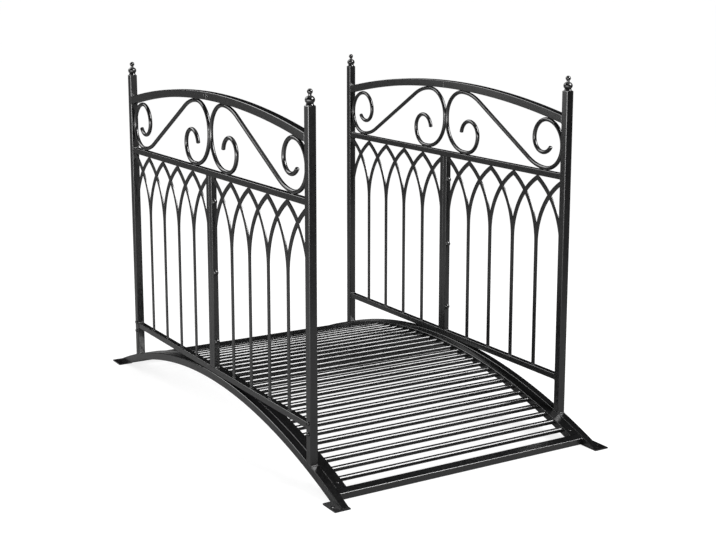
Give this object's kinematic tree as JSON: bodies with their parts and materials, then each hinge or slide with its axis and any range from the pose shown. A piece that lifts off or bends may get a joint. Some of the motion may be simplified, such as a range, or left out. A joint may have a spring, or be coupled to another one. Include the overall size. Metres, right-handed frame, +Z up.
{
  "type": "garden moon bridge",
  "caption": "Small arched garden footbridge of black steel tube with a round-bar deck and two railings of scrolls above a lattice of pointed arches.",
  "frame": {"origin": "on the ground below the middle of the deck, at the bottom centre of the bounding box", "axes": "+X from the left railing to the right one as seen from the front end, +Y from the front end to the rear end along the bridge, +Z up"},
  "size_m": [0.577, 1, 0.6748],
  "materials": {
    "black_steel": "satin black powder coat"
  },
  "bodies": {
    "root": {"left_side_beam": "black_steel", "right_side_beam": "black_steel", "left_front_foot": "black_steel", "left_rear_foot": "black_steel", "right_front_foot": "black_steel", "right_rear_foot": "black_steel", "left_front_post": "black_steel", "left_rear_post": "black_steel", "right_front_post": "black_steel", "right_rear_post": "black_steel", "left_front_finial": "black_steel", "left_rear_finial": "black_steel", "right_front_finial": "black_steel", "right_rear_finial": "black_steel", "left_front_stile": "black_steel", "left_rear_stile": "black_steel", "right_front_stile": "black_steel", "right_rear_stile": "black_steel", "left_front_bottom_rail": "black_steel", "left_rear_bottom_rail": "black_steel", "right_front_bottom_rail": "black_steel", "right_rear_bottom_rail": "black_steel", "left_front_mid_rail": "black_steel", "left_rear_mid_rail": "black_steel", "right_front_mid_rail": "black_steel", "right_rear_mid_rail": "black_steel", "left_front_top_rail": "black_steel", "left_rear_top_rail": "black_steel", "right_front_top_rail": "black_steel", "right_rear_top_rail": "black_steel", "left_front_lattice": "black_steel", "left_rear_lattice": "black_steel", "right_front_lattice": "black_steel", "right_rear_lattice": "black_steel", "left_front_scroll": "black_steel", "left_rear_scroll": "black_steel", "right_front_scroll": "black_steel", "right_rear_scroll": "black_steel", "left_deck_strip": "black_steel", "right_deck_strip": "black_steel", "front_deck_bar": "black_steel", "rear_deck_bar": "black_steel", "deck_rods": "black_steel"}
  },
  "joints": []
}
